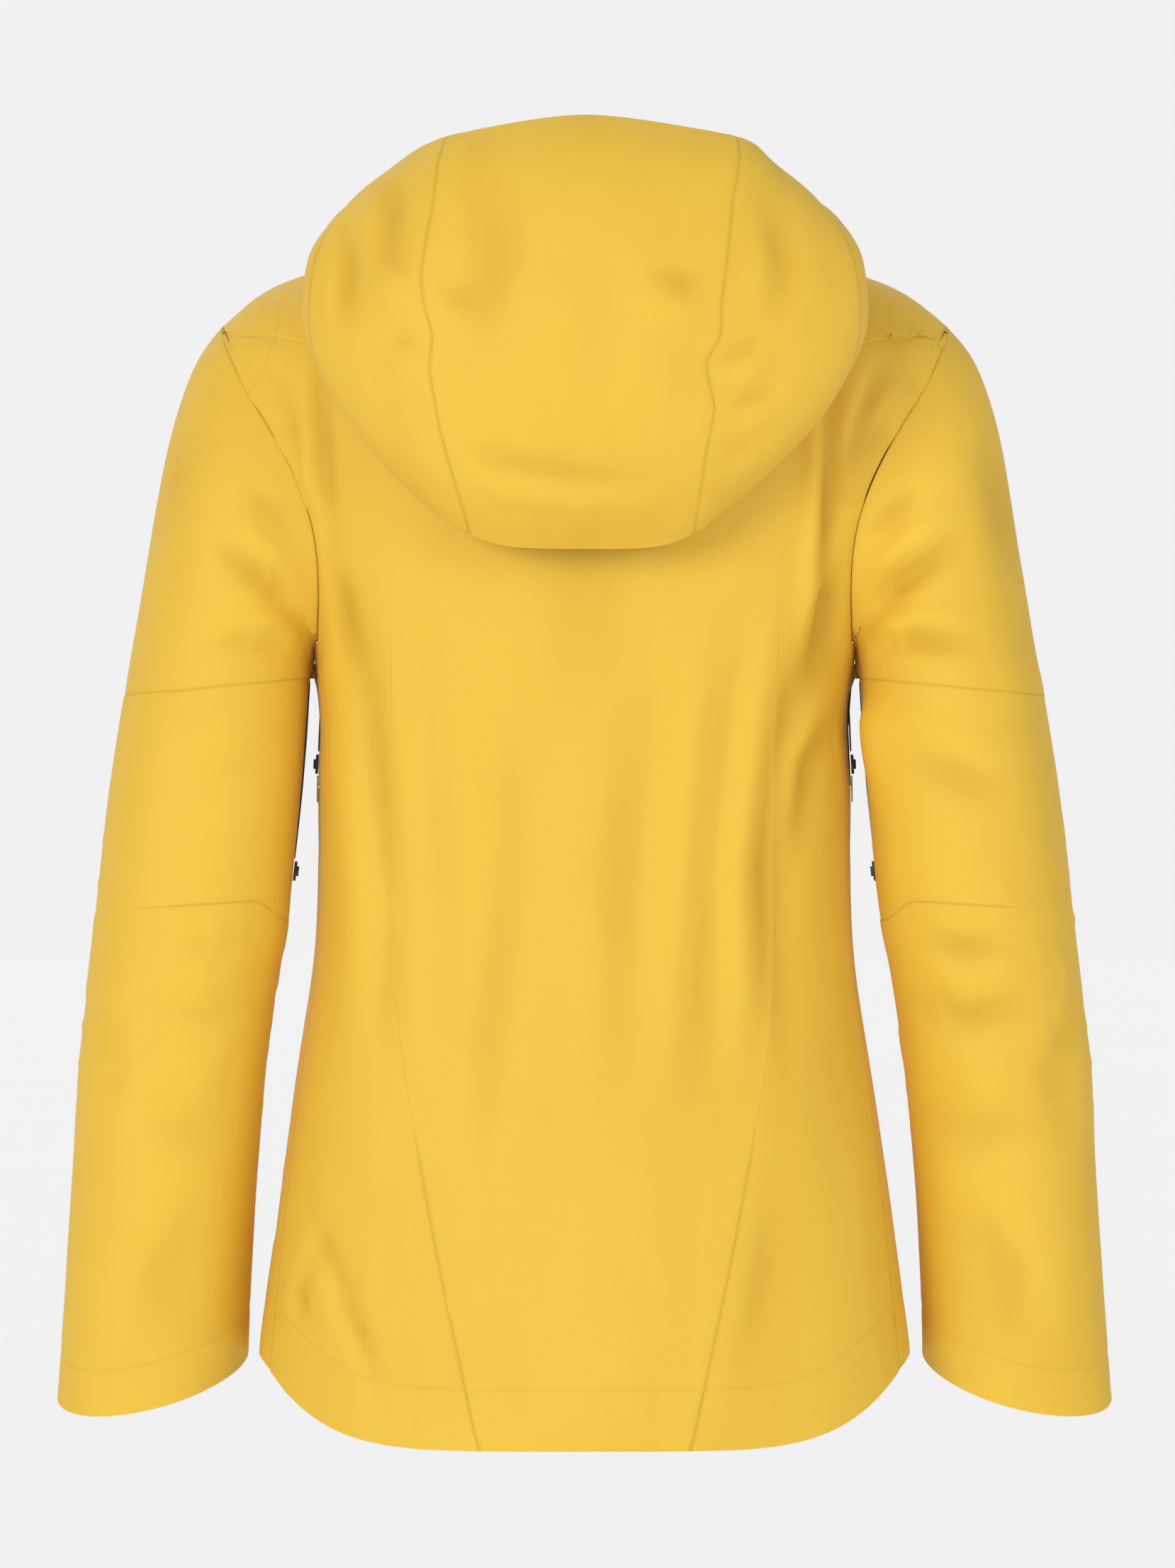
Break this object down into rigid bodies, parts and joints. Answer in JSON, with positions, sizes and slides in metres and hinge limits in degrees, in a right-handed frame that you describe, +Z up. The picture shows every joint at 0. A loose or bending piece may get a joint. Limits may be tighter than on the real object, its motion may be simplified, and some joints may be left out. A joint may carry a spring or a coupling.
{
  "type": "hardshell jacket",
  "caption": "Hooded waterproof shell jacket in its worn shape: princess-seamed back, sleeves with pit zips, hood laid back, dropped tail hem, zips and cuff tabs that work.",
  "frame": {"origin": "underside of the top run of the hanging loop, inside the back of the neck", "axes": "+Z up, the jacket's front faces -Y, the wearer's left is +X"},
  "size_m": [0.644, 0.378, 0.8014],
  "materials": {
    "shell_fabric": "matt yellow face fabric of a waterproof three-layer laminate",
    "lining_fabric": "pale grey backer fabric",
    "zip_tape": "yellow water-repellent zip with a reverse coil",
    "loop_webbing": "narrow woven webbing",
    "pocket_mesh": "dark knitted mesh and hook-and-loop tape",
    "zip_slider": "dark painted zip slider and moulded puller"
  },
  "bodies": {
    "torso": {"back_centre_panel": "shell_fabric", "collar_outer": "shell_fabric", "collar_lining": "lining_fabric", "hem_facing": "lining_fabric", "hang_loop": "loop_webbing", "hood_neck_strip": "shell_fabric", "left_hood_front": "shell_fabric", "right_hood_front": "shell_fabric", "zip_box": "zip_slider", "storm_flap": "lining_fabric", "left_back_side_panel": "shell_fabric", "left_front_panel": "shell_fabric", "left_side_panel": "shell_fabric", "left_body_pit_zip": "zip_tape", "left_pit_zip_garage": "shell_fabric", "left_shoulder_sleeve": "shell_fabric", "left_zip_coil": "zip_tape", "left_zip_tape": "zip_tape", "left_pocket_zip": "zip_tape", "left_pocket_bag": "pocket_mesh", "right_back_side_panel": "shell_fabric", "right_front_panel": "shell_fabric", "right_side_panel": "shell_fabric", "right_body_pit_zip": "zip_tape", "right_pit_zip_garage": "shell_fabric", "right_shoulder_sleeve": "shell_fabric", "right_zip_coil": "zip_tape", "right_zip_tape": "zip_tape", "right_pocket_zip": "zip_tape", "right_pocket_bag": "pocket_mesh"},
    "hood": {"hood_centre_panel": "shell_fabric", "left_hood_panel": "shell_fabric", "right_hood_panel": "shell_fabric", "hood_brim": "shell_fabric"},
    "left_arm": {"left_upper_sleeve": "shell_fabric", "left_sleeve_pit_zip": "zip_tape", "left_elbow_sleeve": "shell_fabric"},
    "left_forearm": {"left_forearm_sleeve": "shell_fabric", "left_cuff_loop_patch": "pocket_mesh"},
    "left_cuff_tab": {"left_cuff_tab": "shell_fabric"},
    "right_arm": {"right_upper_sleeve": "shell_fabric", "right_sleeve_pit_zip": "zip_tape", "right_elbow_sleeve": "shell_fabric"},
    "right_forearm": {"right_forearm_sleeve": "shell_fabric", "right_cuff_loop_patch": "pocket_mesh"},
    "right_cuff_tab": {"right_cuff_tab": "shell_fabric"},
    "front_slider": {"front_slider": "zip_slider"},
    "front_puller": {"front_puller": "zip_slider"},
    "left_pocket_slider": {"left_pocket_slider": "zip_slider"},
    "left_pocket_puller": {"left_pocket_puller": "zip_slider"},
    "left_body_pit_slider": {"left_body_pit_slider": "zip_slider"},
    "left_sleeve_pit_slider": {"left_sleeve_pit_slider": "zip_slider"},
    "right_pocket_slider": {"right_pocket_slider": "zip_slider"},
    "right_pocket_puller": {"right_pocket_puller": "zip_slider"},
    "right_body_pit_slider": {"right_body_pit_slider": "zip_slider"},
    "right_sleeve_pit_slider": {"right_sleeve_pit_slider": "zip_slider"}
  },
  "joints": [
    {"name": "hood_lift", "type": "hinge", "parent": "torso", "child": "hood", "pos_m": [0, 0.011, -0.014], "axis": [1, 0, 0], "range_deg": [0, 60], "deforming": ["hood_neck_strip", "left_hood_front", "right_hood_front"]},
    {"name": "left_shoulder_lift", "type": "hinge", "parent": "torso", "child": "left_arm", "pos_m": [0.205, -0.07, -0.14], "axis": [0, -1, 0], "range_deg": [0, 40], "deforming": ["left_shoulder_sleeve"]},
    {"name": "left_elbow_bend", "type": "hinge", "parent": "left_arm", "child": "left_forearm", "pos_m": [0.244, -0.066, -0.47], "axis": [-1, 0, 0], "range_deg": [0, 90], "deforming": ["left_elbow_sleeve"]},
    {"name": "left_cuff_tab_peel", "type": "hinge", "parent": "left_forearm", "child": "left_cuff_tab", "pos_m": [0.20712, -0.11567, -0.65977], "axis": [0.0387, -0.1715, -0.9844], "range_deg": [0, 90]},
    {"name": "right_shoulder_lift", "type": "hinge", "parent": "torso", "child": "right_arm", "pos_m": [-0.205, -0.07, -0.14], "axis": [0, 1, 0], "range_deg": [0, 40], "deforming": ["right_shoulder_sleeve"]},
    {"name": "right_elbow_bend", "type": "hinge", "parent": "right_arm", "child": "right_forearm", "pos_m": [-0.244, -0.066, -0.47], "axis": [-1, 0, 0], "range_deg": [0, 90], "deforming": ["right_elbow_sleeve"]},
    {"name": "right_cuff_tab_peel", "type": "hinge", "parent": "right_forearm", "child": "right_cuff_tab", "pos_m": [-0.20712, -0.11567, -0.65977], "axis": [0.0387, 0.1715, 0.9844], "range_deg": [0, 90]},
    {"name": "front_zip_slide", "type": "slide", "parent": "torso", "child": "front_slider", "axis": [0, -0.1093, -0.994], "range_m": [0, 0.67]},
    {"name": "front_puller_flip", "type": "hinge", "parent": "front_slider", "child": "front_puller", "pos_m": [0, -0.15519, 0.00192], "axis": [-1, 0, 0], "range_deg": [0, 130]},
    {"name": "left_pocket_zip_slide", "type": "slide", "parent": "torso", "child": "left_pocket_slider", "axis": [0.0812, -0.0937, -0.9923], "range_m": [0, 0.125]},
    {"name": "left_pocket_puller_flip", "type": "hinge", "parent": "left_pocket_slider", "child": "left_pocket_puller", "pos_m": [0.10255, -0.19273, -0.49543], "axis": [-0.9015, -0.4316, -0.0331], "range_deg": [0, 140]},
    {"name": "left_body_pit_zip_slide", "type": "slide", "parent": "torso", "child": "left_body_pit_slider", "axis": [-0.048, 0, 0.9988], "range_m": [0, 0.02]},
    {"name": "left_sleeve_pit_zip_slide", "type": "slide", "parent": "left_arm", "child": "left_sleeve_pit_slider", "axis": [-0.1199, -0.0377, 0.9921], "range_m": [0, 0.028]},
    {"name": "right_pocket_zip_slide", "type": "slide", "parent": "torso", "child": "right_pocket_slider", "axis": [-0.0812, -0.0937, -0.9923], "range_m": [0, 0.125]},
    {"name": "right_pocket_puller_flip", "type": "hinge", "parent": "right_pocket_slider", "child": "right_pocket_puller", "pos_m": [-0.10255, -0.19273, -0.49543], "axis": [-0.9015, 0.4316, 0.0331], "range_deg": [0, 140]},
    {"name": "right_body_pit_zip_slide", "type": "slide", "parent": "torso", "child": "right_body_pit_slider", "axis": [0.048, 0, 0.9988], "range_m": [0, 0.02]},
    {"name": "right_sleeve_pit_zip_slide", "type": "slide", "parent": "right_arm", "child": "right_sleeve_pit_slider", "axis": [0.1199, -0.0377, 0.9921], "range_m": [0, 0.028]}
  ]
}
